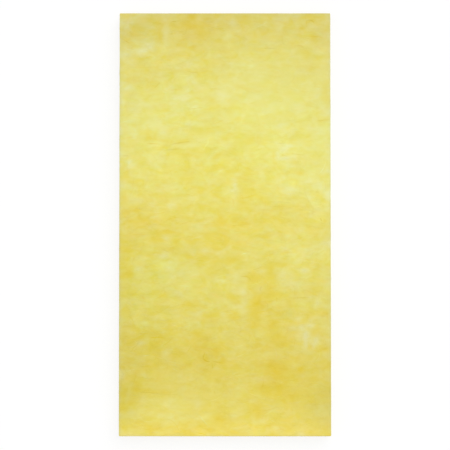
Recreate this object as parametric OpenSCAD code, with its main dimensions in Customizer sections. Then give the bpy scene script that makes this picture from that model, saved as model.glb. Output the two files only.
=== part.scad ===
// Rigid fiberglass insulation board: one slab of resin-bonded glass wool with no facing,
// slit to its width and chopped to its length, so every edge is square.
// Millimetres, +Z up. The board lies flat on its back face, and the origin is under its
// centre: X runs across the width, Y along the length and Z through the thickness.

/* [Board] */
// Width from one slit long edge to the other (24 in stock)
board_width = 609.6; // [300:0.1:1250]
// Length from one chopped end to the other (48 in stock)
board_length = 1219.2; // [600:0.1:3050]
// Thickness from the back face to the front face (2 in stock)
board_thickness = 50.8; // [12.7:0.1:102]

/* [Cut edges] */
// Radius where a slit long edge meets a face: the slitter leaves a clean arris
slit_arris_radius = 1.2; // [0.4:0.1:5]
// Radius where a chopped end meets a face: the chopper drags the top fibres over
chop_arris_radius = 1.8; // [0.4:0.1:5]
// Radius of the four upright corners, which handling blunts first
corner_radius = 3; // [0.5:0.1:12]

/* [Finish] */
// Colour of the cured binder on the glass
board_colour = "#E4D872"; // ["#E4D872":Straw yellow, "#E9C46A":Amber, "#F3EFE0":White]

/* [Hidden] */
$fn = 64;
// Each cutting profile runs this far past the board, so that only its outline trims
run_past = 10;

// Rectangle centred on the origin with true round corners
module rounded_rectangle(width, height, radius) {
    square([width - 2 * radius, height], center = true);
    square([width, height - 2 * radius], center = true);
    for (x = [-1, 1], y = [-1, 1])
        translate([x * (width / 2 - radius), y * (height / 2 - radius)])
            circle(r = radius);
}

// Outline seen from above, as the blank lies on the line
module plan_outline() {
    linear_extrude(board_thickness + 2 * run_past, center = true)
        rounded_rectangle(board_width, board_length, corner_radius);
}

// Section that the slitter leaves, carried along the length
module slit_section() {
    rotate([90, 0, 0])
        linear_extrude(board_length + 2 * run_past, center = true)
            rounded_rectangle(board_width, board_thickness, slit_arris_radius);
}

// Section that the chopper leaves, carried across the width
module chopped_section() {
    rotate([90, 0, 90])
        linear_extrude(board_width + 2 * run_past, center = true)
            rounded_rectangle(board_length, board_thickness, chop_arris_radius);
}

// The whole board is the stock that all three cuts leave
module insulation_board() {
    color(board_colour)
        translate([0, 0, board_thickness / 2])
            intersection() {
                plan_outline();
                slit_section();
                chopped_section();
            }
}

insulation_board();
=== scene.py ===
"""Rigid fiberglass insulation board in a plain studio.

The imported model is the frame: metres, +Z up, the board flat on its back face, X across its width
and Y along its length. Sizes below are in millimetres, and MM turns them to metres.
"""
import math

import bmesh
import bpy
import numpy as np
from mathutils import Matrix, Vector, noise


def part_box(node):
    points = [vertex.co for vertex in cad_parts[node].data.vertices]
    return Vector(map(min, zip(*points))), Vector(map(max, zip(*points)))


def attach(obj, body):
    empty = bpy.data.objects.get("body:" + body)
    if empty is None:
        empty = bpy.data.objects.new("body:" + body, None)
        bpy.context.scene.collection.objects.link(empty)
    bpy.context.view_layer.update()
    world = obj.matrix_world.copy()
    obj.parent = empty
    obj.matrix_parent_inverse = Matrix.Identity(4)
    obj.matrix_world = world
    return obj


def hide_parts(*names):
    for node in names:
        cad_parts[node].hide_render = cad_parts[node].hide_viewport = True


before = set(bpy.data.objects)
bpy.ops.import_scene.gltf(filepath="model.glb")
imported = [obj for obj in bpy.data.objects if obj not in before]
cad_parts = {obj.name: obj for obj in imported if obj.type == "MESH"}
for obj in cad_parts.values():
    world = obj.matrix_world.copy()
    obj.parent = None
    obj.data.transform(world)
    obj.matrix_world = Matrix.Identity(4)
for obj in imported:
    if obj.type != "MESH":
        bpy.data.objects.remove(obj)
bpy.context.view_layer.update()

MM = 0.001
BOARD = "insulation_board"
_, board_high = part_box(BOARD)
HALF_WIDTH = board_high.x / MM
HALF_LENGTH = board_high.y / MM
THICKNESS = board_high.z / MM
UP = np.array((0.0, 0.0, 1.0))

# The slab's lattice is fine enough to carry the felt's relief and the layers of its cut edges
LATTICE_STEP = 5.0
LAYER_STEP = 1.75
CORNER_RADIUS = 3.0
ARRIS_RADIUS = 1.5
BLUNT_SEGMENTS = 3
SHARP_ANGLE = math.radians(80)

# The felt's lumps and ripples: height, size across and along the board, and a place in the noise.
# Most of them lie under the plane of the face, sunk by this much.
FELT_LUMPS = (
    (0.20, 70, 34, 1.7),
    (0.13, 26, 12, 5.3),
)
FELT_SUNK = 0.2

# The cut edges: how far layers and frays stand out and splits go in, then the length of each along
# the edge, its height, and a place in the noise. Only the strongest noise opens a split.
LAYER_RISE, LAYERS = 0.7, (80, 5.0, 0)
FRAY_RISE, FRAYS = 0.4, (18, 2.8, 40)
SPLIT_DEPTH, SPLITS = 4.0, (120, 5.5, 90)
SPLIT_START = 0.3
CUT_SUNK = 0.4
# Cured skins hold the wool: this much of the relief is left at a face, and all of it further in
SKIN_RELIEF = 0.2
SKIN_HOLD = 8

# Glass fibres are 0.007 mm thick: each strand stands for a bundle of them, coarse enough to show.
# It has four rings of three points, the crest first and then both feet, between two sharp ends, and
# it is pressed flat.
STRAND_POINTS = 6
STRAND_TAPER = np.array((0.0, 0.75, 1.0, 1.0, 0.75, 0.0))
ALONG_STRAND = np.linspace(-0.5, 0.5, STRAND_POINTS)
RING_SIDES = 3
RING_TURNS = np.radians((270, 30, 150))
FLATTENED = 0.2
# Each strand's cell of the map for baked colours keeps this share free around it
CELL_MARGIN = 0.08

# Tones are steps of colour: how much paler, lighter and warmer than the straw yellow of the board's
# mean. These ranges are the whole way from amber to pale, dull to bright and green to warm.
PALE_RANGE = 120
LIGHT_RANGE = 43
WARM_RANGE = 10
# Fibres that are paler are also duller, by this share
PALER_DULLER = 0.27

# Broad drift along the board, from the far end to the near one: partly of the cured binder and partly
# painted shade and light, darker at the far end and lighter at the near end.
# Place along the length, then the tone of the wool there.
BINDER_AND_SHADE_ALONG = (
    (610, -14, -13, 0),
    (550, -7, -9, 0),
    (500, 1, -5, -0.5),
    (400, 10, -2, -1),
    (300, 12, 1, -1.5),
    (200, 9, 4, -1),
    (100, 3, 4, -0.5),
    (0, -8, 4, 0),
    (-100, -7, 1, -1),
    (-200, -9, 0, -1),
    (-300, -13, -2, -0.5),
    (-400, -20, -3, 0),
    (-480, -18, -1, 0),
    (-550, -8, 3, 1),
    (-585, -9, 9, 2.5),
    (-610, -12, 15, 3),
)

# Clouds where the wool took more binder or less, darker bands along the long edges, and a painted
# shade along the left rim: place, reach across and along, tone
BINDER_CLOUDS = {
    "far left corner, bare": (-290, 600, 22, 10, 20, -4, 1),
    "far end, amber": (-90, 570, 55, 50, -12, 2, 1),
    "far left, amber": (-210, 432, 50, 28, -12, 1, 0),
    "far left edge, pale": (-282, 492, 28, 16, 8, -5, 0),
    "upper middle, pale": (0, 380, 32, 30, 8, -1, 1),
    "upper left, pale": (-112, 350, 36, 60, 9, -2, 0),
    "upper right, pale": (140, 330, 65, 45, 9, 0, 0),
    "right, palest": (165, 212, 38, 36, 13, 0, 0.5),
    "right edge, pale": (285, 180, 45, 110, 9, -3, -0.5),
    "right band, pale": (235, 110, 90, 30, 12, -2, 0),
    "middle, bright": (80, 150, 65, 80, -2, 5, -1),
    "left, bright": (-120, 150, 100, 80, 0, 2, -0.5),
    "left edge, amber": (-230, 0, 45, 40, -6, -1, 1),
    "centre, amber": (0, -50, 65, 45, -6, 3, 1),
    "left, green and pale": (-160, -130, 55, 38, 6, -4, -1.5),
    "lower left, green": (-235, -200, 60, 80, -4, -1, -2),
    "right, pale patch": (225, -110, 48, 52, 16, -3, 0.5),
    "right middle, pale": (170, -60, 45, 32, 8, 0, 0),
    "below centre, pale": (20, -190, 52, 40, 8, -1, 0),
    "below centre, amber": (98, -225, 38, 55, -8, 3, 1.5),
    "lower left, amber": (-225, -350, 62, 46, -15, -2, -1.5),
    "near left, amber": (-280, -480, 52, 42, -13, -1, -1),
    "lower middle, amber": (-45, -385, 46, 36, -10, 1, 0),
    "lower right, scuffed": (240, -312, 34, 40, 13, -4, 1.5),
    "lower right, amber": (145, -410, 38, 42, -9, 1, 1),
    "near right, amber": (155, -485, 44, 40, -8, 3, 0.5),
    "near left, pale": (-150, -535, 60, 28, 11, -1, 0),
    "left edge, dull": (-305, -200, 42, 330, 0, -8, 0),
    "far left edge, dull": (-305, 380, 36, 220, 0, -4, 1),
    "right edge, dull": (305, -260, 30, 330, 0, -4, 0),
    "far right edge, dull": (305, 430, 30, 120, 0, -4, 1),
    "far left, dull": (-255, 550, 45, 25, -6, -6, -1),
    "far middle, amber": (-55, 450, 22, 60, -6, 2, 0),
    "far right of middle, pale": (85, 440, 45, 55, 8, 0, 0),
    "left, amber": (-140, 205, 36, 45, -7, 0, 0),
    "beside the middle tuft": (52, 110, 16, 28, -12, 2, 0.5),
    "right, paler band": (190, 96, 28, 18, 9, -4, 0),
    "right, paler": (147, 165, 24, 26, 8, -4, 0),
    "right edge, paler": (280, 38, 40, 36, 9, 0, 0),
    "left of centre, pale": (-65, 5, 26, 22, 11, -4, 0),
    "right of centre, pale": (85, -75, 20, 18, 10, 0, 0),
    "left row, amber": (-180, -80, 48, 15, -7, 1, 0),
    "left edge, amber, lower": (-295, -120, 32, 75, -14, 6, 0),
    "lower left, straw": (-205, -265, 40, 24, -8, 2, 0),
    "beside the fork, amber": (190, -308, 16, 22, -9, 1, 0.5),
    "lower right of middle, pale": (70, -385, 42, 34, 8, 0, 0),
    "near left, paler": (-205, -508, 30, 22, 9, -4, 0),
    "near left of middle, pale": (-110, -462, 28, 26, 7, -4, 0),
    "near middle, pale": (45, -490, 32, 26, 8, 0, 0),
    "near end, pale": (92, -572, 26, 18, 9, 1, 0),
    "near right corner, dull": (285, -530, 40, 52, -12, -8, -1.5),
    "upper middle, bright": (40, 325, 26, 20, 0, 6, 0),
    "upper left, dull": (-243, 275, 24, 40, 7, -4, 0),
    "right edge, bright": (302, -92, 20, 30, 0, 6, 0),
    "far rim, pale": (-150, 590, 16, 18, 11, -6, 0),
    "near left edge, amber": (-285, -535, 38, 50, -10, -1, -2),
    # Painted shade: a narrow darker band all along the left rim
    "left rim, painted shade": (-304, 0, 6, 900, 2, -6, -0.5),
}

# Strokes are soft marks on the face: place, half length, half width, the way they run and how far
# they curl over their length, both in degrees from across the board, and how strong they are.
# In these the binder gathered and cured amber.
AMBER_STREAKS = {
    "far left line": (-188, 545, 36, 5, -80, 0, 13),
    "far left dash": (-280, 527, 20, 5, -28, 0, 14),
    "far left row": (-130, 517, 28, 4, 4, 0, 9),
    "far end": (-105, 575, 24, 18, 90, 0, 10),
    "far end, rim": (-95, 600, 18, 12, 0, 0, 15),
    "far middle": (86, 552, 13, 4, 90, 0, 9),
    "far right hook": (250, 588, 18, 5, 0, -150, 15),
    "far right hook, foot": (222, 566, 12, 6, 5, 0, 16),
    "far right rim": (245, 602, 12, 10, 90, 0, 13),
    "far right spot": (236, 492, 12, 11, 0, 0, 17),
    "upper left smile": (-97, 440, 24, 4, -5, 50, 12),
    "upper left slant": (-200, 398, 22, 6, 42, 0, 9),
    "upper left arc": (-172, 330, 28, 5, -38, 50, 8),
    "upper middle line": (55, 393, 38, 5, -16, 0, 13),
    "upper middle hook": (-40, 360, 17, 6, -35, 0, 16),
    "upper middle spot": (15, 325, 14, 9, 60, 0, 11),
    "upper right edge": (285, 300, 20, 5, 3, 0, 16),
    "left slant": (-224, 262, 16, 6, 75, 0, 11),
    "left of middle slant": (-70, 266, 30, 10, 8, 0, 12),
    "left streak, far": (-118, 240, 30, 5, 14, 0, 14),
    "left streak, end": (-142, 216, 14, 4, 0, 0, 6),
    "left streak, near": (-110, 199, 42, 4, -8, 0, 15),
    "middle slant": (-20, 198, 20, 5, 32, 0, 20),
    "middle arch": (25, 154, 26, 6, 5, -80, 15),
    "right dash": (215, 146, 16, 4, 0, 0, 21),
    "middle spot": (-20, 86, 10, 8, 90, 0, 11),
    "middle hook": (46, 66, 16, 6, -50, 40, 12),
    "right slant": (112, 68, 34, 7, -32, 0, 14),
    "right row": (175, 51, 42, 4, -1, 0, 9),
    "right crease": (238, 60, 22, 6, -65, 0, 9),
    "left row": (-205, 85, 32, 5, 3, 0, 9),
    "left edge": (-258, 39, 22, 5, 3, 0, 18),
    "centre": (-14, 22, 22, 9, -78, 0, 13),
    "right speck": (285, 8, 10, 5, 45, 0, 14),
    "left arc": (-165, -23, 34, 5, 3, -45, 17),
    "left arc, foot": (-202, -45, 16, 6, 5, 0, 14),
    "centre slant": (-50, -36, 20, 9, -35, 0, 13),
    "left of centre dash": (-106, -95, 14, 6, -20, 0, 20),
    "centre spot": (12, -106, 22, 9, 0, 0, 15),
    "right of centre row": (113, -36, 20, 4, -3, 0, 20),
    "left edge, lower": (-275, -147, 18, 6, 0, 0, 15),
    "below centre pool": (85, -155, 26, 10, 0, 0, 15),
    "below centre drop": (132, -138, 22, 10, 90, 0, 15),
    "right row, lower": (172, -117, 20, 6, -2, 0, 21),
    "lower middle slant": (18, -212, 22, 6, -25, 0, 16),
    "lower right drop": (88, -238, 48, 13, 88, 0, 15),
    "lower right arc": (138, -204, 30, 9, 0, 0, 16),
    "right arc, lower": (262, -192, 18, 6, -10, 0, 9),
    "lower left arch": (-98, -232, 45, 5, 0, -45, 13),
    "lower left arch, end": (-35, -261, 22, 5, -5, 0, 4),
    "lower middle dash": (25, -266, 16, 9, 0, 0, 13),
    "lower right slant": (238, -265, 25, 8, 40, 0, 13),
    "lower right spot": (142, -291, 15, 11, 0, 0, 15),
    "lower left spot": (-84, -315, 16, 9, 0, 0, 14),
    "lower left slant": (-250, -331, 26, 6, 28, 0, 14),
    "beside the fork": (262, -310, 16, 10, 0, 0, 14),
    "below the fork": (287, -358, 20, 6, 0, 0, 17),
    "lower right row": (145, -325, 34, 12, 0, 0, 15),
    "lower right dash": (170, -345, 22, 5, 0, 0, 12),
    "knot, left": (-56, -383, 14, 7, -62, 0, 11),
    "knot, right": (-25, -366, 16, 9, 65, 0, 11),
    "knot, foot": (-12, -398, 24, 5, -5, 0, 10),
    "knot, tail": (35, -413, 14, 8, -10, 0, 12),
    "lower right pool": (148, -420, 38, 16, -15, 0, 8),
    "lower right pool, end": (216, -418, 12, 7, 0, 0, 17),
    "near right pool": (150, -478, 40, 15, -8, 0, 7),
    "near right smear": (90, -533, 30, 13, 5, 0, 12),
    "near middle pool": (-14, -560, 24, 15, 0, 0, 17),
    "near left line": (-215, -479, 45, 5, -3, 0, 11),
    "near left line, end": (-172, -485, 14, 5, 0, 0, 13),
    "near left spot": (-214, -585, 12, 9, 0, 0, 17),
    "near left edge": (-287, -522, 26, 8, 35, 0, 11),
    "inside the fork": (246, -352, 8, 5, 0, 0, 20),
    "left of the right tuft": (141, 195, 18, 4, 90, 0, 20),
    "left row, lower": (-150, -72, 16, 6, 0, 0, 9),
    "far end, near": (-75, 549, 32, 9, 0, 0, 8),
    "far middle, rim": (58, 597, 16, 8, 0, 0, 15),
    "middle patch, far": (18, 216, 22, 12, 0, 0, 3),
    "middle streak, far": (68, 237, 28, 5, 0, 0, 9),
    "upper right drop": (147, 388, 16, 7, 90, 0, 7),
    "right edge, drop": (288, 372, 26, 8, 88, 0, 8),
    "right of the middle tuft": (72, 99, 26, 5, 0, 0, 10),
    "centre dip": (-45, -137, 22, 12, 0, 0, 11),
    "left edge, upper": (-292, 72, 16, 14, 0, 0, 12),
    "left edge, low": (-290, -318, 18, 12, 0, 0, 9),
    "middle slope": (80, 190, 28, 8, -60, 0, 7),
    "left band": (-105, 131, 44, 9, -3, 0, 10),
}
AMBER_TONE = (-1.25, 0.5, 0.0)

# In these the wool has little binder, and the strongest of them were scuffed up into loose tufts
PALE_WISPS = {
    "far left tuft": (-238, 502, 16, 9, 10, 0, 28),
    "far left wisp": (-168, 560, 46, 7, 88, 35, 15),
    "far rim wisp": (-72, 598, 12, 9, 90, 0, 10),
    "far middle wisp": (25, 577, 16, 9, 0, 0, 19),
    "far right wisp": (245, 567, 9, 6, 30, 0, 5),
    "upper left fleck": (-188, 430, 9, 8, 0, 0, 12),
    "upper middle tuft": (-2, 376, 22, 12, 80, 0, 14),
    "upper streak": (84, 357, 22, 4, 10, 0, 10),
    "left stroke": (-103, 225, 44, 6, 3, 20, 15),
    "left fleck": (-182, 263, 14, 8, 10, 0, 20),
    "left fleck, right": (-130, 267, 14, 9, 60, 0, 15),
    "right tuft, far stroke": (169, 214, 24, 6, 28, 0, 28),
    "right tuft, near stroke": (173, 187, 22, 5, 4, 20, 34),
    "right tuft, left stroke": (154, 200, 15, 5, 90, 0, 22),
    "middle tuft, drop": (28, 108, 20, 6, 93, 0, 31),
    "middle tuft, foot": (23, 97, 18, 6, 0, 0, 31),
    "middle tuft, flick": (36, 144, 11, 5, -5, 0, 18),
    "right of middle wisp": (108, 138, 18, 7, 95, 0, 14),
    "right streak": (112, 50, 26, 4, 1, 0, 9),
    "left tuft": (-155, 53, 12, 9, -10, 0, 27),
    "left patch": (-246, 70, 20, 9, 3, 0, 16),
    "left patch, end": (-212, 57, 10, 7, 0, 0, 13),
    "right edge tuft": (302, 78, 12, 9, 90, 0, 25),
    "left fleck, lower": (-168, -41, 10, 5, 0, 0, 22),
    "left dash, lower": (-172, -91, 14, 5, 3, 0, 22),
    "left wisp, lower": (-152, -135, 30, 8, -90, 0, 10),
    "left edge fleck": (-248, -130, 10, 6, 0, 0, 18),
    "left of centre patch": (-95, -135, 20, 12, -25, 0, 8),
    "centre fleck": (-58, -75, 13, 9, 0, 0, 15),
    "below centre fleck": (30, -150, 14, 7, 90, 0, 12),
    "below centre tuft": (53, -193, 11, 9, 90, 0, 22),
    "below centre wisp": (52, -243, 26, 8, 92, 0, 15),
    "right edge patch": (300, -55, 22, 9, 5, 0, 28),
    "right patch": (170, -141, 22, 9, 12, 0, 13),
    "right patch, streak": (228, -135, 16, 5, 0, 0, 23),
    "right patch, tail": (190, -176, 22, 6, -70, 0, 11),
    "right flick": (264, -227, 12, 6, 70, 0, 18),
    "lower left stroke": (-130, -202, 26, 7, -18, 0, 18),
    "lower left patch": (-82, -258, 24, 7, 8, 0, 12),
    "lower left patch, end": (-135, -262, 16, 9, -10, 0, 14),
    "lower middle fleck": (-5, -260, 10, 7, 0, 0, 13),
    "lower left tuft": (-244, -341, 14, 8, 5, 0, 20),
    "forked scuff, head": (222, -298, 12, 7, -20, 0, 21),
    "forked scuff, arm": (195, -297, 14, 6, 10, 0, 13),
    "forked scuff, stem": (232, -330, 28, 6, 90, 0, 26),
    "forked scuff, branch": (260, -338, 20, 7, 62, 0, 28),
    "left edge, bare": (-300, -435, 16, 9, 90, 0, 22),
    "near right streak": (108, -448, 34, 5, -6, 0, 10),
    "near left patch": (-270, -550, 18, 14, 0, 0, 10),
    "near left wisp": (-235, -508, 22, 7, 90, 0, 6),
    "near middle tuft": (28, -547, 13, 9, 90, 0, 10),
    "near middle fleck": (-78, -520, 9, 9, 0, 0, 14),
    "near left corner": (-272, -604, 22, 8, 0, 0, 18),
    "near right rim": (215, -604, 14, 9, 0, 0, 22),
    "far left tuft, tail": (-283, 489, 14, 7, 0, 0, 16),
    "right tuft, top stroke": (152, 236, 9, 4, 0, 0, 8),
    "forked scuff, left tine": (214, -276, 12, 5, -80, 0, 9),
    "forked scuff, right tine": (251, -274, 14, 5, 55, 0, 11),
    "far left tuft, right": (-214, 512, 14, 9, 20, 0, 24),
    "far left tuft, end": (-193, 516, 10, 6, 0, 0, 12),
    "middle tuft, toe": (7, 91, 12, 7, 0, 0, 11),
    "left wisp, top": (-158, -110, 6, 6, 90, 0, 15),
    "left wisp, side": (-130, -143, 12, 6, 0, 0, 10),
    "forked scuff, crown": (240, -292, 13, 7, 15, 0, 19),
    "forked scuff, joint": (246, -336, 12, 6, 0, 0, 13),
    "far right of middle": (155, 568, 12, 7, 90, 0, 7),
    "right band, left end": (150, 122, 16, 6, 0, 0, 14),
    "lower left oval": (-170, -379, 12, 7, 0, 0, 9),
    "near right patch": (280, -548, 20, 12, 0, 0, 7),
    "lower right dashes, end": (246, -211, 7, 3, 5, 0, 15),
    "knot, slant": (-16, -386, 8, 4, 45, 0, 11),
    "knot, foot": (-23, -415, 9, 4, 10, 0, 10),
    "oval": (101, -188, 16, 9, 90, 0, 12),
    "below centre lens": (57, -160, 11, 4, -5, 0, 12),
    "above the oval": (106, -138, 9, 4, 0, 0, 12),
}
PALE_TONE = (1.5, -0.6, 0.12)
SCUFFED = 16

# Places where the felt lies calmer: place, reach across and along, how much of its pattern is missing
CALM_PLACES = {
    "upper right": (150, 400, 130, 110, 0.5),
    "upper left": (-250, 330, 45, 80, 0.35),
    "right edge": (270, 200, 40, 60, 0.35),
    "near end": (-120, -500, 110, 60, 0.4),
    "near right": (230, -480, 60, 80, 0.3),
}

# Bundles that stand out of the felt as dark lines: place, half length, half width, the way they run,
# how far they curl, how dark
PRESSED_BUNDLES = {
    "far right dash": (130, 508, 22, 1.2, 0, 0, 10),
    "far left dash": (-287, 529, 14, 1.3, -30, 0, 8),
    "upper left dash": (-94, 439, 18, 1.4, -8, 30, 9),
    "upper left slant": (-196, 400, 13, 1.3, 45, 10, 9),
    "upper middle slant": (68, 384, 44, 1.0, -22, 10, 5),
    "upper right line": (283, 299, 20, 1.3, 6, 0, 10),
    "left streak": (-126, 234, 33, 1.5, 9, -6, 12),
    "left streak, lower": (-150, 215, 22, 1.2, 6, 0, 9),
    "left edge line": (-286, 196, 10, 1.1, 0, 0, 13),
    "right tuft line": (163, 233, 14, 1.2, 0, 0, 11),
    "right tuft crease": (171, 197, 12, 1.4, -15, 0, 12),
    "right crease": (240, 72, 36, 1.0, -68, 30, 6),
    "right speck": (277, 12, 5, 1.4, -70, 60, 22),
    "middle streak": (160, 63, 36, 1.2, -2, 0, 7),
    "middle streak, lower": (150, 50, 28, 1.0, 0, 0, 5),
    "centre streak": (45, -3, 34, 1.2, 6, 0, 7),
    "left row": (-190, -2, 44, 1.0, -3, 0, 5),
    "below centre dash": (57, -152, 13, 1.5, -4, -30, 12),
    "lower right dashes": (224, -212, 30, 1.1, 3, 0, 9),
    "lower left arc": (-112, -237, 38, 1.3, 0, -70, 5),
    "lower middle knot": (-54, -392, 13, 1.6, -32, 60, 13),
    "lower middle knot, tail": (-22, -396, 16, 1.3, -12, 30, 6),
    "near left line": (-212, -484, 46, 1.3, -3, 4, 8),
    "near left line, end": (-140, -490, 16, 1.1, -6, 0, 5),
    "far right hook": (247, 585, 17, 1.7, 0, -150, 10),
    "right speck, curl": (281, 3, 9, 1.1, -25, 120, 9),
    "lower middle knot, drop": (-36, -409, 7, 1.5, 95, 0, 11),
    "below centre dash, hook": (70, -158, 7, 1.3, -50, -40, 10),
    "lower middle knot, stem": (-60, -377, 11, 1.5, 71, 0, 9),
    "oval, core": (102, -186, 7, 2.0, 75, 0, 9),
    "above the oval": (92, -129, 14, 1.4, 17, 0, 9),
}
DARK_TONE = (-1.2, -0.4, 0.0)

# Faint strokes lie everywhere: their number, spread of tones, least half length and what is added to
# it, half width, spread of headings and of curls in degrees, and share turned upright
FAINT_STROKES = 900
FAINT_SPREAD = (7.0, 1.6, 0.5)
FAINT_SHORTEST = 5
FAINT_LONGER = (2.5, 3.5)
FAINT_WIDTH = (3, 8)
FAINT_HEADING = 22
FAINT_CURL = 40
FAINT_TURNED = 0.25

# A stroke fades towards its ends over this share of its half length
STROKE_FADE = 0.75
# A mark this strong would hide the felt's pattern, but none hides more than this share
HIDING_STRENGTH = 24
MOST_HIDDEN = 0.7
# The wet wool was swirled as it settled: the whirls' size and how far they carry a mark, both across
# and along the board, how much they break up the amber, and their place in the noise
DRIFT_SIZE = (18, 10)
DRIFT_REACH = (4, 2.5)
AMBER_BROKEN = 0.4
DRIFT_PLACE = 8.1
# Marks and clouds are in the cured skin of a face, and fade within this depth
SKIN_DEPTH = 4.0

# Handling dirt and painted shade dull the faces next to the arrises, and a fresh cut shows paler wool
# than the cured skin of a face
ARRIS_DIRT_AND_SHADE = (6, -16, 0.0)
ARRIS_REACH = 5
CUT_TONE = (8, 1, 0.0)

# Strands keep this far from the arrises of a face and from the corners of a cut edge
FACE_MARGIN = 2
CORNER_MARGIN = 6

# For each kind of strand: its number, the least and the most of its length and radius, how much its
# heading turns and bends, its lift, and its tone and how that varies.
# Bundles in the face: a few stand out among many faint ones, and some are curly and a little darker.
FACE_STRANDS = 6000
FACE_LENGTH = (14, 56)
FACE_RADIUS = (0.4, 1.0)
FACE_TURN = 0.22
FACE_BEND = 0.01
FACE_LIFT = 0.1
FACE_SPREAD = (4.8, 1.4, 1.0)
FACE_STRENGTH = (1.5, 0.67)
CURLY_STRANDS = 900
CURLIER = 3.5
CURLY_TONE = (-4.5, -2.5, 0.0)

# Dark bundles: lift and foot for each millimetre of half width
BUNDLE_LIFT = 0.12
BUNDLE_FOOT = 1.3

# Tufts: spread and length are shares of the wisp's own sizes, and a strand has so much of its area
TUFT_FEWEST = 8
TUFT_AREA = 8
TUFT_SPREAD = 0.5
TUFT_LENGTH = (0.4, 1.3)
TUFT_RADIUS = (0.3, 0.7)
TUFT_TURN = 0.3
TUFT_BEND = 0.03
TUFT_LIFT = (0.05, 0.3)
TUFT_ARCH = (0.0, 0.6, 1.0, 1.0, 0.6, 0.0)
TUFT_TONES = ((2, 0, 0), (5, 2, 0.3))

# Loose fibres of the nap: both ends of the arch are in the felt
LOOSE_FIBRES = 4200
LOOSE_LENGTH = (6, 26)
LOOSE_RADIUS = (0.08, 0.15)
LOOSE_TURN = 0.7
LOOSE_BEND = 0.03
LOOSE_LIFT = (2.0, 0.5)
LOOSE_HIGHEST = 2.6
LOOSE_ARCH = (-0.3, 0.5, 1.0, 1.0, 0.5, -0.3)
LOOSE_TONES = ((6, 1, 0), (6, 2, 0.3))

# Bundles in the cut edges: middles and ends keep these distances from the faces, and none is further
# out than the last value
EDGE_STRANDS = 4200
EDGE_LENGTH = (10, 46)
EDGE_RADIUS = (0.3, 0.8)
EDGE_SLOPE = 0.03
EDGE_LIFT = 0.15
EDGE_SPREAD = (11, 6, 0.5)
MIDDLE_MARGIN = 2.5
END_MARGIN = 1.6
EDGE_FURTHEST = 1

# Stray fibre ends: they start in the wool, keep these distances from the back and front faces, and
# veer and droop as they go
STRAY_FIBRES = 3600
STRAY_ROOT = 0.8
STRAY_SHORTEST = 0.3
STRAY_LONGER = (2.0, 0.6)
STRAY_LONGEST = 3.0
STRAY_RADIUS = (0.1, 0.18)
STRAY_MARGINS = (1.5, 1.0)
STRAY_VEER, STRAY_VEER_BEND = 2.0, 1.5
STRAY_DROOP, STRAY_DROOP_BEND = (-0.4, 0.8), 2
STRAY_TONES = ((16, 3, 0), (8, 3, 0.3))

# Colours of the wool at the ends of its ranges, and the tints of greenish or warm binder and of resin
DULL_AMBER, DULL_PALE = "#CCB53C", "#E8EEBA"
BRIGHT_AMBER, BRIGHT_PALE = "#E4CB14", "#FFFFA4"
GREEN_TINT, WARM_TINT = "#F7FFFD", "#FFF7FB"
RESIN_TINT, WHITE = "#FDF7C4", "#FFFFFF"
# How far the felt's pattern moves the resin, the lightness, the lightness of a cut and the warmth
RESIN_SHIFT = 3.0
LIGHT_SHIFT = 0.47
CUT_LIGHT_SHIFT = 2.1
WARM_SHIFT = 0.9
# The middle of a noise, and the place in it where the felt's pattern starts
MID_NOISE = (0.5, 0.5, 0.5)
FELT_PLACE = (8.8, 10.2, 1.2)

# The studio: the floor's half size in metres, how much of it glows white while the rest takes the
# shadow, and the strengths of that glow and of the light all round
FLOOR_SIZE = 9
FLOOR_WHITE = 0.8
FLOOR_GLOW = 1.02
ROUND_LIGHT = 0.55
# Each lamp: degrees round from +X, degrees up, how wide it is and how strong
LAMPS = {
    "key_light": (60, 50, 60, 1.57),
    "fill_light": (240, 60, 80, 0.45),
}
LAMP_HEIGHT = 3
# The camera: lens and film width in millimetres, turn off the upright, metres from the face, and the
# place along the board that it aims at
LENS = 100
FILM_WIDTH = 36
CAMERA_TILT = math.radians(1.6)
CAMERA_DISTANCE = 3.598
CAMERA_AIM = -3.5


def linear(hex_colour):
    """Linear RGBA of an sRGB colour written as #RRGGBB."""
    parts = [int(hex_colour[i:i + 2], 16) / 255 for i in (1, 3, 5)]
    return [c / 12.92 if c <= 0.04045 else ((c + 0.055) / 1.055) ** 2.4 for c in parts] + [1.0]


def repeats(*sizes):
    """Scales of a pattern, in repeats a metre, from its sizes in millimetres."""
    return [1 / (size * MM) for size in sizes]


def add_node(tree, kind, values=None, links=None, **settings):
    """Adds a shader node: settings are its properties, values its sockets, links what feeds them."""
    made = tree.nodes.new("ShaderNode" + kind)
    for name, value in settings.items():
        setattr(made, name, value)
    for socket, value in (values or {}).items():
        made.inputs[socket].default_value = value
    for socket, source in (links or {}).items():
        tree.links.new(source, made.inputs[socket])
    return made


def new_material(name):
    """An empty node material and the output node of its tree."""
    material = bpy.data.materials.new(name)
    material.use_nodes = True
    material.node_tree.nodes.clear()
    return material, add_node(material.node_tree, "OutputMaterial")


def felt_relief(x, y):
    """Height of the felted face above its plane: shallow lumps drawn out across the board."""
    lumps = sum(
        height * noise.noise(Vector((x / across, y / along, place)))
        for height, across, along, place in FELT_LUMPS
    )
    return lumps - FELT_SUNK


def layered_noise(x, y, z, length, height, place):
    """Noise whose lumps lie flat: this long in every direction of the board, and this high."""
    return noise.noise(Vector((x / length, y / length, z / height + place)))


def cut_relief(x, y, z):
    """How far a cut edge stands out: the wool's layers show as ridges, a few are split deeper, and
    the cured skins hold the wool next to the faces."""
    held = min(1.0, SKIN_RELIEF + min(z, THICKNESS - z) / SKIN_HOLD)
    layers = LAYER_RISE * layered_noise(x, y, z, *LAYERS)
    frays = FRAY_RISE * layered_noise(x, y, z, *FRAYS)
    split = max(0.0, layered_noise(x, y, z, *SPLITS) - SPLIT_START)
    return held * (layers + frays - SPLIT_DEPTH * split) - CUT_SUNK


def near_spot(dx, dy, across, along):
    """1 at the middle of a spot, fading to 0 a few times its reach away."""
    return np.exp(-0.5 * ((dx / across) ** 2 + (dy / along) ** 2))


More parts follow.
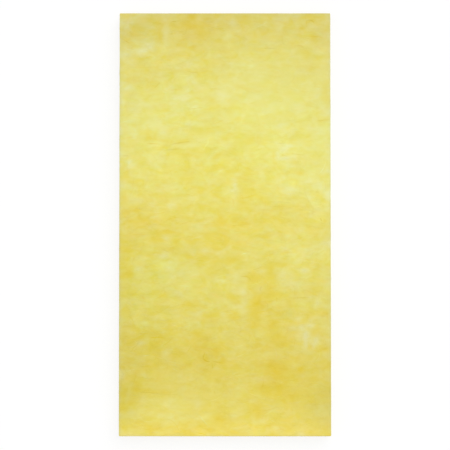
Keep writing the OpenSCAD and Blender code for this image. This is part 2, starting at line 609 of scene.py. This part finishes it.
def near_stroke(x, y, cx, cy, half_length, half_width, runs, curls):
    """1 along the middle of a soft curved stroke, fading to 0 away from it."""
    c, s = math.cos(math.radians(runs)), math.sin(math.radians(runs))
    along, across = (x - cx) * c + (y - cy) * s, (y - cy) * c - (x - cx) * s
    across = across - math.radians(curls) / (4 * half_length) * along ** 2
    return near_spot(along, across, STROKE_FADE * half_length, half_width)


def mottling_at(x, y):
    """How much of the felt's pattern shows at these places: less where it lies calm, and less under
    the streaks and wisps."""
    shows = np.ones(len(x))
    for cx, cy, across, along, missing in CALM_PLACES.values():
        shows *= 1 - missing * near_spot(x - cx, y - cy, across, along)
    hidden = np.zeros(len(x))
    for *stroke, strength in (*AMBER_STREAKS.values(), *PALE_WISPS.values()):
        hides = min(MOST_HIDDEN, strength / HIDING_STRENGTH)
        hidden = np.maximum(hidden, hides * near_stroke(x, y, *stroke))
    return shows * (1 - hidden)


def skin_at(z):
    """1 in the cured skin of a face, fading to 0 in the wool between the faces."""
    depth = np.maximum(np.minimum(z, THICKNESS - z), 0)
    return np.exp(-((depth / SKIN_DEPTH) ** 2))


def faint_strokes():
    """Random soft strokes, with their tones, that fill the felt between the named marks."""
    rng = np.random.default_rng(5)
    count = FAINT_STROKES
    cx = rng.uniform(-HALF_WIDTH, HALF_WIDTH, count)
    cy = rng.uniform(-HALF_LENGTH, HALF_LENGTH, count)
    half_length = FAINT_SHORTEST + rng.gamma(*FAINT_LONGER, count)
    half_width = rng.uniform(*FAINT_WIDTH, count)
    runs = rng.normal(0, FAINT_HEADING, count)
    runs += 90 * (rng.random(count) < FAINT_TURNED)
    curls = rng.normal(0, FAINT_CURL, count)
    tones = mottling_at(cx, cy)[:, None] * rng.normal(0, FAINT_SPREAD, (count, 3))
    tones[:, 1] -= PALER_DULLER * tones[:, 0]
    return zip(zip(cx, cy, half_length, half_width, runs, curls), tones)


def binder_and_shade_at(x, y, z):
    """The tone of the wool at places given as arrays, in millimetres: that of its core, which holds
    painted shade and light along the board, and in its skin also the clouds, the marks and the faint
    strokes."""
    whirls = zip(x / DRIFT_SIZE[0], y / DRIFT_SIZE[1])
    drift = np.array([noise.noise_vector(Vector((*whirl, DRIFT_PLACE))) for whirl in whirls])
    x = x + DRIFT_REACH[0] * drift[:, 0]
    y = y + DRIFT_REACH[1] * drift[:, 1]
    broken = 1 + AMBER_BROKEN * drift[:, 2]
    tones = np.zeros((len(x), 3))
    for cx, cy, across, along, *tone in BINDER_CLOUDS.values():
        tones += np.outer(near_spot(x - cx, y - cy, across, along), tone)
    for strokes, tone, kept in ((AMBER_STREAKS, AMBER_TONE, broken), (PALE_WISPS, PALE_TONE, 1)):
        marked = np.zeros(len(x))
        for *stroke, strength in strokes.values():
            marked = np.maximum(marked, strength * near_stroke(x, y, *stroke))
        tones += np.outer(marked * kept, tone)
    for stroke, tone in faint_strokes():
        tones += np.outer(near_stroke(x, y, *stroke), tone)
    # The drift along the board is partly painted shade towards the far end and painted light towards the
    # near end
    stops = np.array(BINDER_AND_SHADE_ALONG[::-1], float)
    core = np.stack([np.interp(y, stops[:, 0], stops[:, column]) for column in (1, 2, 3)], axis=-1)
    return core + skin_at(z)[:, None] * tones


def binder_and_shade_along(paths):
    """The tone of the wool at every point of these paths."""
    return binder_and_shade_at(*paths.reshape(-1, 3).T).reshape(paths.shape)


def places_of(mesh):
    """Where the points of a mesh are, in millimetres: all x, all y, all z."""
    return np.array([v.co for v in mesh.vertices]).T / MM


def write_binder_and_shade(mesh, tones, cut):
    """Keeps on the mesh what the wool's material reads there: the tones of the binder with their painted
    shade and light, the cut edges, and how much of the felt's pattern shows, which is all of it under
    the skin."""
    shares = tones / (PALE_RANGE, LIGHT_RANGE, WARM_RANGE) + 0.5
    x, y, z = places_of(mesh)
    shows = 1 - skin_at(z) * (1 - mottling_at(x, y))
    for name, kind, field, values in (
        ("binder", "FLOAT_VECTOR", "vector", shares),
        ("cut_edge", "FLOAT", "value", cut),
        ("mottling", "FLOAT", "value", shows),
    ):
        kept = mesh.attributes.new(name, kind, "POINT")
        kept.data.foreach_set(field, values.astype(np.float32).ravel())


def add_piece(name, mesh, material):
    """Puts a mesh in the scene as wool that rides on the board and takes its finish."""
    mesh.materials.append(material)
    piece = bpy.data.objects.new(name, mesh)
    bpy.context.collection.objects.link(piece)
    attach(piece, "root")
    return piece


def run_along(edge, axis):
    """How far an edge runs along an axis."""
    return abs((edge.verts[1].co - edge.verts[0].co)[axis])


def sharp_edges(bm):
    """The edges at which the faces of the block still meet at a right angle."""
    bm.normal_update()
    return [e for e in bm.edges if e.calc_face_angle(0) > SHARP_ANGLE]


def blunt(bm, edges, radius):
    """Rounds edges off, as cutting and handling leave them."""
    bmesh.ops.bevel(
        bm, geom=edges, offset=radius * MM, offset_type="OFFSET", affect="EDGES",
        segments=BLUNT_SEGMENTS, profile=0.5, material=-1, clamp_overlap=True,
    )


def make_slab(material):
    """The board itself: a blunted block whose lattice is moved into felt and cut layers."""
    bm = bmesh.new()
    bmesh.ops.create_cube(bm, size=1)
    sizes = Vector((2 * HALF_WIDTH, 2 * HALF_LENGTH, THICKNESS))
    bmesh.ops.scale(bm, vec=sizes * MM, verts=bm.verts)
    bmesh.ops.translate(bm, vec=(0, 0, THICKNESS / 2 * MM), verts=bm.verts)
    for axis, step in enumerate((LATTICE_STEP, LATTICE_STEP, LAYER_STEP)):
        along = [e for e in bm.edges if run_along(e, axis) > sizes[axis] * MM / 2]
        bmesh.ops.subdivide_edges(bm, edges=along, cuts=round(sizes[axis] / step) - 1)
    upright = [e for e in sharp_edges(bm) if run_along(e, 2) > LAYER_STEP * MM / 2]
    blunt(bm, upright, CORNER_RADIUS)
    blunt(bm, sharp_edges(bm), ARRIS_RADIUS)
    bm.normal_update()
    cut = []
    for vert in bm.verts:
        x, y, z = vert.co / MM
        flat = vert.normal.z ** 2
        cut.append(1 - flat)
        rise = flat * felt_relief(x, y) + (1 - flat) * cut_relief(x, y, z)
        vert.co += vert.normal * rise * MM
        vert.co.z = max(vert.co.z, 0.0)
    mesh = bpy.data.meshes.new("felted_slab")
    bm.to_mesh(mesh)
    bm.free()
    mesh.shade_smooth()
    x, y, z = places_of(mesh)
    cut = np.array(cut)
    margin = np.minimum(HALF_WIDTH - np.abs(x), HALF_LENGTH - np.abs(y))
    tones = binder_and_shade_at(x, y, z)
    # Handling dirt and painted shade dull the faces next to the arrises
    tones += np.outer((1 - cut) * np.exp(-((margin / ARRIS_REACH) ** 2)), ARRIS_DIRT_AND_SHADE)
    tones += np.outer(cut, CUT_TONE)
    write_binder_and_shade(mesh, tones, cut)
    slab = add_piece("felted_slab", mesh, material)
    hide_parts(BOARD)


def strand_faces():
    """The faces of one strand and where they lie in its cell of the map: quads join each ring to the
    next, and triangles close both ends."""
    last = STRAND_POINTS - 3
    start = RING_SIDES * (last + 1)
    end = start + 1
    quads, tips, quad_map, tip_map = [], [], [], []
    for k in range(RING_SIDES):
        n = (k + 1) % RING_SIDES
        low, high = k / RING_SIDES, (k + 1) / RING_SIDES
        middle = (low + high) / 2
        for ring in range(last):
            a, b = (ring + 1) / (last + 2), (ring + 2) / (last + 2)
            here, there = RING_SIDES * ring, RING_SIDES * (ring + 1)
            quads.append((here + k, here + n, there + n, there + k))
            quad_map.append(((a, low), (a, high), (b, high), (b, low)))
        a, b = 1 / (last + 2), (last + 1) / (last + 2)
        there = RING_SIDES * last
        tips += [(start, n, k), (there + k, there + n, end)]
        tip_map += [((0, middle), (a, high), (a, low)), ((b, low), (b, high), (1, middle))]
    return quads, tips, quad_map, tip_map


def join_strands(name, paths, radii, facing, tones, material):
    """One mesh of many strands: low three-sided ridges that run to a point at both ends, with their
    crest turned the way they face. Paths and radii are in millimetres."""
    count = len(paths)
    way = np.gradient(paths, axis=1)
    way /= np.linalg.norm(way, axis=2, keepdims=True)
    side = np.cross(way, facing)
    side /= np.linalg.norm(side, axis=2, keepdims=True)
    under = FLATTENED * np.cross(way, side)
    turns = RING_TURNS[:, None]
    ring = np.cos(turns) * side[:, :, None] + np.sin(turns) * under[:, :, None]
    thick = (radii[:, None] * STRAND_TAPER)[:, 1:-1, None, None]
    rings = paths[:, 1:-1, None] + thick * ring[:, 1:-1]
    verts = np.concatenate([rings.reshape(count, -1, 3), paths[:, [0, -1]]], axis=1)
    verts[..., 2] = np.maximum(verts[..., 2], 0.0)
    quads, tips, *maps = strand_faces()
    first = np.arange(count)[:, None, None] * verts.shape[1]
    faces = (first + quads).reshape(-1, 4).tolist() + (first + tips).reshape(-1, 3).tolist()
    mesh = bpy.data.meshes.new(name)
    mesh.from_pydata((verts.reshape(-1, 3) * MM).tolist(), [], faces)
    cells = math.ceil(math.sqrt(count))
    corner = np.stack(np.divmod(np.arange(count), cells)[::-1], axis=-1)[:, None, None]
    inside = [CELL_MARGIN + (1 - 2 * CELL_MARGIN) * np.array(part) for part in maps]
    spots = np.concatenate([((corner + part) / cells).ravel() for part in inside])
    mesh.uv_layers.new(name="OFBake").uv.foreach_set("vector", spots.astype(np.float32))
    ringed = np.repeat(tones[:, 1:-1], RING_SIDES, axis=1)
    tones = np.concatenate([ringed, tones[:, [0, -1]]], axis=1).reshape(-1, 3)
    write_binder_and_shade(mesh, tones, np.zeros(len(tones)))
    add_piece(name, mesh, material)


def follow(middles, length, headings):
    """Flat paths of these lengths over these middles, from the heading at each of their points."""
    ways = np.stack([np.cos(headings), np.sin(headings)], axis=-1)
    path = np.cumsum(ways * (length / (STRAND_POINTS - 1))[:, None, None], axis=1)
    return middles[:, None] + path - path.mean(axis=1, keepdims=True)


def wander(rng, heading, length, curl):
    """Headings along strands that set out on these ones and bend as they go."""
    count = len(heading)
    bend = curl * (rng.normal(0, 1, (count, 1)) + rng.normal(0, 1, (count, STRAND_POINTS)))
    return heading[:, None] + np.cumsum(bend * (length / (STRAND_POINTS - 1))[:, None], axis=1)


def lay_on_face(flat, lift):
    """Gives flat paths their height, so that they follow the felt's lumps."""
    heights = np.array([[THICKNESS + felt_relief(x, y) for x, y in path] for path in flat])
    return np.concatenate([flat, (heights + lift)[..., None]], axis=-1)


def strew(rng, lengths, turn, bend, curls):
    """Flat paths of random strands all over the face, as many as there are curls."""
    count = len(curls)
    middles = rng.uniform((-HALF_WIDTH, -HALF_LENGTH), (HALF_WIDTH, HALF_LENGTH), (count, 2))
    length = rng.uniform(*lengths, count)
    heading = curls * rng.normal(0, turn, count)
    return follow(middles, length, wander(rng, heading, length, bend * curls[:, None]))


def within(paths, margin):
    """Which paths stay this far inside the sides of the board."""
    limits = (HALF_WIDTH - margin, HALF_LENGTH - margin)
    return (np.abs(paths[..., :2]) < limits).all(axis=(1, 2))


def make_face_strands(material):
    """Bundles of fibre that lie in the top of the felt and draw its fine streaks."""
    rng = np.random.default_rng(11)
    curly = np.arange(FACE_STRANDS) < CURLY_STRANDS
    flat = strew(rng, FACE_LENGTH, FACE_TURN, FACE_BEND, np.where(curly, CURLIER, 1.0))
    kept = within(flat, FACE_MARGIN)
    flat, curly = flat[kept], curly[kept]
    count = len(flat)
    radii = rng.uniform(*FACE_RADIUS, count)
    own = rng.normal(0, FACE_SPREAD, (count, 3)) * rng.gamma(*FACE_STRENGTH, (count, 1))
    own[:, 1] -= PALER_DULLER * own[:, 0]
    own += np.outer(curly, CURLY_TONE)
    own *= mottling_at(*flat[:, STRAND_POINTS // 2].T)[:, None]
    paths = lay_on_face(flat, FACE_LIFT * radii[:, None])
    tones = binder_and_shade_along(paths) + own[:, None]
    join_strands("face_strands", paths, radii, UP, tones, material)


def make_pressed_bundles(material):
    """The few thick bundles that show as dark lines in the felt."""
    bundles = np.array(list(PRESSED_BUNDLES.values()), float)
    half_length, half_width, runs, curls, dark = bundles[:, 2:].T
    headings = np.radians(runs[:, None] + curls[:, None] * ALONG_STRAND)
    flat = follow(bundles[:, :2], 2 * half_length, headings)
    paths = lay_on_face(flat, BUNDLE_LIFT * half_width[:, None])
    tones = binder_and_shade_along(paths) + np.outer(dark, DARK_TONE)[:, None]
    join_strands("pressed_bundles", paths, BUNDLE_FOOT * half_width, UP, tones, material)


def make_tufts(material):
    """Tangles of loose fibre that were scuffed up from the face and lie on it."""
    rng = np.random.default_rng(23)
    flat = []
    for cx, cy, half_length, half_width, runs, _, strength in PALE_WISPS.values():
        if strength < SCUFFED:
            continue
        count = TUFT_FEWEST + round(half_length * half_width / TUFT_AREA)
        turn = math.radians(runs)
        along, across = rng.normal(0, TUFT_SPREAD, (2, count)) * ((half_length,), (half_width,))
        middles = np.stack([
            cx + along * math.cos(turn) - across * math.sin(turn),
            cy + along * math.sin(turn) + across * math.cos(turn),
        ], axis=-1)
        length = rng.uniform(*TUFT_LENGTH, count) * half_length
        headings = wander(rng, rng.normal(turn, TUFT_TURN, count), length, TUFT_BEND)
        flat.append(follow(middles, length, headings))
    flat = np.concatenate(flat)
    flat = flat[within(flat, FACE_MARGIN)]
    count = len(flat)
    lift = rng.uniform(*TUFT_LIFT, (count, 1)) * TUFT_ARCH
    radii = rng.uniform(*TUFT_RADIUS, count)
    paths = lay_on_face(flat, lift)
    tones = binder_and_shade_along(paths) + rng.normal(*TUFT_TONES, (count, 1, 3))
    join_strands("scuffed_tufts", paths, radii, UP, tones, material)


def make_loose_fibres(material):
    """Single fibres that spring out of the face in low arcs and give it a nap."""
    rng = np.random.default_rng(61)
    flat = strew(rng, LOOSE_LENGTH, LOOSE_TURN, LOOSE_BEND, np.ones(LOOSE_FIBRES))
    flat = flat[within(flat, FACE_MARGIN)]
    count = len(flat)
    lift = np.minimum(rng.gamma(*LOOSE_LIFT, (count, 1)), LOOSE_HIGHEST) * LOOSE_ARCH
    paths = lay_on_face(flat, lift)
    tones = binder_and_shade_along(paths) + rng.normal(*LOOSE_TONES, (count, 1, 3))
    radii = rng.uniform(*LOOSE_RADIUS, count)
    join_strands("loose_fibres", paths, radii, UP, tones, material)


def edge_places(rng, count):
    """Random places on the four cut edges, and from each the way out and the way along."""
    out = np.array(((1, 0, 0), (-1, 0, 0), (0, 1, 0), (0, -1, 0)), float)
    reach = np.array((HALF_WIDTH, HALF_WIDTH, HALF_LENGTH, HALF_LENGTH))
    run = reach[::-1] - CORNER_MARGIN
    side = rng.choice(len(out), count, p=run / run.sum())
    out, along = out[side], np.cross(out, UP)[side]
    shift = rng.uniform(-1, 1, count) * run[side]
    at = out * reach[side, None] + along * shift[:, None]
    return at[:, None], out[:, None], along[:, None]


def make_edge_strands(material):
    """Bundles cut through or pulled along the edges, lying in the layers of the wool."""
    rng = np.random.default_rng(31)
    count = EDGE_STRANDS
    at, out, along = edge_places(rng, count)
    spread = ALONG_STRAND * rng.uniform(*EDGE_LENGTH, (count, 1))
    paths = at + along * spread[..., None]
    heights = rng.uniform(MIDDLE_MARGIN, THICKNESS - MIDDLE_MARGIN, (count, 1))
    heights = heights + spread * rng.normal(0, EDGE_SLOPE, (count, 1))
    paths[..., 2] = np.clip(heights, END_MARGIN, THICKNESS - END_MARGIN)
    radii = rng.uniform(*EDGE_RADIUS, count)
    depth = np.array([[cut_relief(*point) for point in path] for path in paths])
    paths += out * (depth + EDGE_LIFT * radii[:, None])[..., None]
    tones = binder_and_shade_along(paths) + rng.normal(CUT_TONE, EDGE_SPREAD, (count, 1, 3))
    kept = within(paths, -EDGE_FURTHEST)
    join_strands("edge_strands", paths[kept], radii[kept], out[kept], tones[kept], material)


def make_stray_fibres(material):
    """Short fibre ends that stand out of the cut edges and soften their outline."""
    rng = np.random.default_rng(47)
    count = STRAY_FIBRES
    at, out, along = edge_places(rng, count)
    at[:, 0, 2] = rng.uniform(STRAY_MARGINS[0], THICKNESS - STRAY_MARGINS[1], count)
    reach = np.minimum(rng.gamma(*STRAY_LONGER, (count, 1)) + STRAY_SHORTEST, STRAY_LONGEST)
    go = np.linspace(0, 1, STRAND_POINTS)
    depth = np.array([[cut_relief(*point[0])] for point in at])
    paths = at + out * (depth - STRAY_ROOT + go * (reach + STRAY_ROOT))[..., None]
    paths += along * (rng.normal(0, STRAY_VEER, (count, 1)) * go ** STRAY_VEER_BEND)[..., None]
    paths[..., 2] += rng.normal(*STRAY_DROOP, (count, 1)) * go ** STRAY_DROOP_BEND
    tones = binder_and_shade_along(paths) + rng.normal(*STRAY_TONES, (count, 1, 3))
    radii = rng.uniform(*STRAY_RADIUS, count)
    join_strands("stray_fibres", paths, radii, UP, tones, material)


def make_glass_wool():
    """Resin-bonded glass wool: a matt felt, straw yellow where the binder cured, paler where fibres
    are loose and amber where the binder pooled, drawn out in streaks across the board."""
    material, output = new_material("resin_bonded_glass_wool")
    tree = material.node_tree
    place = add_node(tree, "TexCoord").outputs["Object"]
    # The binder's tones include painted shade and light along the board, the left rim and the arrises
    binder = add_node(tree, "Attribute", attribute_name="binder").outputs["Vector"]
    pale, light, warm = add_node(tree, "SeparateXYZ", links={0: binder}).outputs
    cut = add_node(tree, "Attribute", attribute_name="cut_edge").outputs["Fac"]
    mottling = add_node(tree, "Attribute", attribute_name="mottling").outputs["Fac"]

    # Air and water swirled the fibres before they were pressed: whirls of 50 mm carry the felt's
    # pattern up to 20 mm across the board and 6 mm along it
    swirl = add_node(
        tree, "TexNoise", links={"Vector": place}, values={"Scale": repeats(50)[0], "Detail": 1.0}
    ).outputs["Color"]
    centred = add_node(
        tree, "VectorMath", operation="SUBTRACT", values={1: MID_NOISE}, links={0: swirl}
    ).outputs[0]
    swirled = add_node(
        tree, "VectorMath", operation="MULTIPLY_ADD",
        values={1: (2 * 20 * MM, 2 * 6 * MM, 0.0)}, links={0: centred, 2: place},
    ).outputs[0]

    # On the faces, patches 46 mm across and 30 mm along break up into clumps and wisps of 7 mm
    drawn = add_node(
        tree, "Mapping", links={"Vector": swirled},
        values={"Location": FELT_PLACE, "Scale": repeats(46, 30, 30)},
    ).outputs[0]
    felt = add_node(
        tree, "TexNoise", links={"Vector": drawn},
        values={"Scale": 1.0, "Detail": 2.0, "Roughness": 0.75},
    ).outputs["Color"]
    # The cut edges show layers; real ones are finer than these 6 mm bands, which have to show
    stacked = add_node(
        tree, "Mapping", links={"Vector": place}, values={"Scale": repeats(110, 110, 6)}
    ).outputs[0]
    layers = add_node(
        tree, "TexNoise", links={"Vector": stacked},
        values={"Scale": 1.0, "Detail": 3.0, "Roughness": 0.65},
    ).outputs["Color"]
    pattern = add_node(tree, "Mix", data_type="RGBA", links={0: cut, 6: felt, 7: layers}).outputs[2]
    varied = add_node(
        tree, "VectorMath", operation="SUBTRACT", values={1: MID_NOISE}, links={0: pattern}
    ).outputs[0]
    shown = add_node(
        tree, "VectorMath", operation="SCALE", links={0: varied, "Scale": mottling}
    ).outputs[0]

    # The pattern's three parts move the resin, the lightness and the warmth
    resined, packed, cured = add_node(tree, "SeparateXYZ", links={0: shown}).outputs
    yellow = add_node(
        tree, "Math", operation="MULTIPLY_ADD", values={1: RESIN_SHIFT, 2: 0.5}, links={0: resined}
    ).outputs[0]
    depth = add_node(
        tree, "Math", operation="MULTIPLY_ADD",
        values={1: CUT_LIGHT_SHIFT, 2: LIGHT_SHIFT}, links={0: cut},
    ).outputs[0]
    lightness = add_node(
        tree, "Math", operation="MULTIPLY_ADD", links={0: packed, 1: depth, 2: light}
    ).outputs[0]
    warmth = add_node(
        tree, "Math", operation="MULTIPLY_ADD", values={1: WARM_SHIFT}, links={0: cured, 2: warm}
    ).outputs[0]
    dull, bright, tint, resin = [
        add_node(
            tree, "Mix", data_type="RGBA", links={0: share}, values={6: linear(low), 7: linear(high)}
        ).outputs[2]
        for share, low, high in (
            (pale, DULL_AMBER, DULL_PALE),
            (pale, BRIGHT_AMBER, BRIGHT_PALE),
            (warmth, GREEN_TINT, WARM_TINT),
            (yellow, RESIN_TINT, WHITE),
        )
    ]
    colour = add_node(tree, "Mix", data_type="RGBA", links={0: lightness, 6: dull, 7: bright}).outputs[2]
    for film in (tint, resin):
        colour = add_node(
            tree, "Mix", data_type="RGBA", blend_type="MULTIPLY",
            values={0: 1.0}, links={6: colour, 7: film},
        ).outputs[2]
    # Cured binder is a little glossier than bare fibres
    roughness = add_node(
        tree, "Math", operation="MULTIPLY_ADD", values={1: 0.25, 2: 0.8}, links={0: pale}
    ).outputs[0]

    # Fibres lie across the board in layers; theirs is a grain far finer than this one, 16 mm by 4 mm
    # on the faces and 3 mm deep, which has to show
    grain = add_node(
        tree, "Mapping", links={"Vector": swirled}, values={"Scale": repeats(16, 4, 3)}
    ).outputs[0]
    fibres = add_node(
        tree, "TexNoise", links={"Vector": grain}, values={"Scale": 1.0, "Detail": 1.0}
    ).outputs["Fac"]
    bump = add_node(
        tree, "Bump", links={"Height": fibres}, values={"Strength": 0.2, "Distance": 0.5 * MM}
    ).outputs[0]
    shader = add_node(
        tree, "BsdfPrincipled", links={"Base Color": colour, "Roughness": roughness, "Normal": bump},
        values={
            "IOR": 1.45, "Specular IOR Level": 0.2,
            "Sheen Weight": 0.15, "Sheen Roughness": 0.5, "Sheen Tint": linear("#FFF3B8"),
        },
    )
    tree.links.new(shader.outputs[0], output.inputs["Surface"])
    return material


def make_floor():
    """White floor that keeps the board's soft shadow."""
    material, output = new_material("white_studio_floor")
    tree = material.node_tree
    ray = add_node(tree, "LightPath").outputs
    seen = ray["Is Camera Ray"]
    for kind in ("Is Glossy Ray", "Is Transmission Ray"):
        seen = add_node(tree, "Math", operation="MAXIMUM", links={0: seen, 1: ray[kind]}).outputs[0]
    share = add_node(
        tree, "Math", operation="MULTIPLY", values={1: FLOOR_WHITE}, links={0: seen}
    ).outputs[0]
    paint = add_node(tree, "BsdfDiffuse", values={"Color": linear("#F4F4F4")})
    white = add_node(tree, "Emission", values={"Color": linear(WHITE), "Strength": FLOOR_GLOW})
    both = add_node(tree, "MixShader", links={0: share, 1: paint.outputs[0], 2: white.outputs[0]})
    tree.links.new(both.outputs[0], output.inputs["Surface"])
    bm = bmesh.new()
    bmesh.ops.create_grid(bm, x_segments=1, y_segments=1, size=FLOOR_SIZE)
    mesh = bpy.data.meshes.new("studio_floor")
    bm.to_mesh(mesh)
    bm.free()
    mesh.materials.append(material)
    floor = bpy.data.objects.new("studio_floor", mesh)
    bpy.context.collection.objects.link(floor)


def make_light():
    """Soft light all round, white to the camera, and two wide lamps above."""
    world = bpy.data.worlds.new("studio_light")
    world.use_nodes = True
    tree = world.node_tree
    tree.nodes.clear()
    ray = add_node(tree, "LightPath").outputs["Is Camera Ray"]
    soft = add_node(tree, "Background", values={"Color": linear(WHITE), "Strength": ROUND_LIGHT})
    white = add_node(tree, "Background", values={"Color": linear(WHITE), "Strength": 1.0})
    both = add_node(tree, "MixShader", links={0: ray, 1: soft.outputs[0], 2: white.outputs[0]})
    add_node(tree, "OutputWorld", links={"Surface": both.outputs[0]})
    bpy.context.scene.world = world
    for name, (azimuth, elevation, spread, strength) in LAMPS.items():
        lamp = bpy.data.lights.new(name, "SUN")
        lamp.angle = math.radians(spread)
        lamp.energy = strength
        holder = bpy.data.objects.new(name, lamp)
        holder.rotation_euler = (math.radians(90 - elevation), 0, math.radians(azimuth + 90))
        holder.location = (0, 0, LAMP_HEIGHT)
        bpy.context.collection.objects.link(holder)


def make_camera():
    """A long lens almost straight above the board, a touch towards its near end."""
    lens = bpy.data.cameras.new("camera")
    lens.lens = LENS
    lens.sensor_width = FILM_WIDTH
    camera = bpy.data.objects.new("camera", lens)
    back = CAMERA_DISTANCE * math.sin(CAMERA_TILT)
    rise = CAMERA_DISTANCE * math.cos(CAMERA_TILT)
    camera.location = (0, CAMERA_AIM * MM - back, THICKNESS * MM + rise)
    camera.rotation_euler = (CAMERA_TILT, 0, 0)
    bpy.context.collection.objects.link(camera)
    bpy.context.scene.camera = camera


make_camera()
make_floor()
make_light()
wool = make_glass_wool()
make_slab(wool)
make_face_strands(wool)
make_pressed_bundles(wool)
make_tufts(wool)
make_loose_fibres(wool)
make_edge_strands(wool)
make_stray_fibres(wool)
bpy.context.scene.view_settings.view_transform = "Standard"
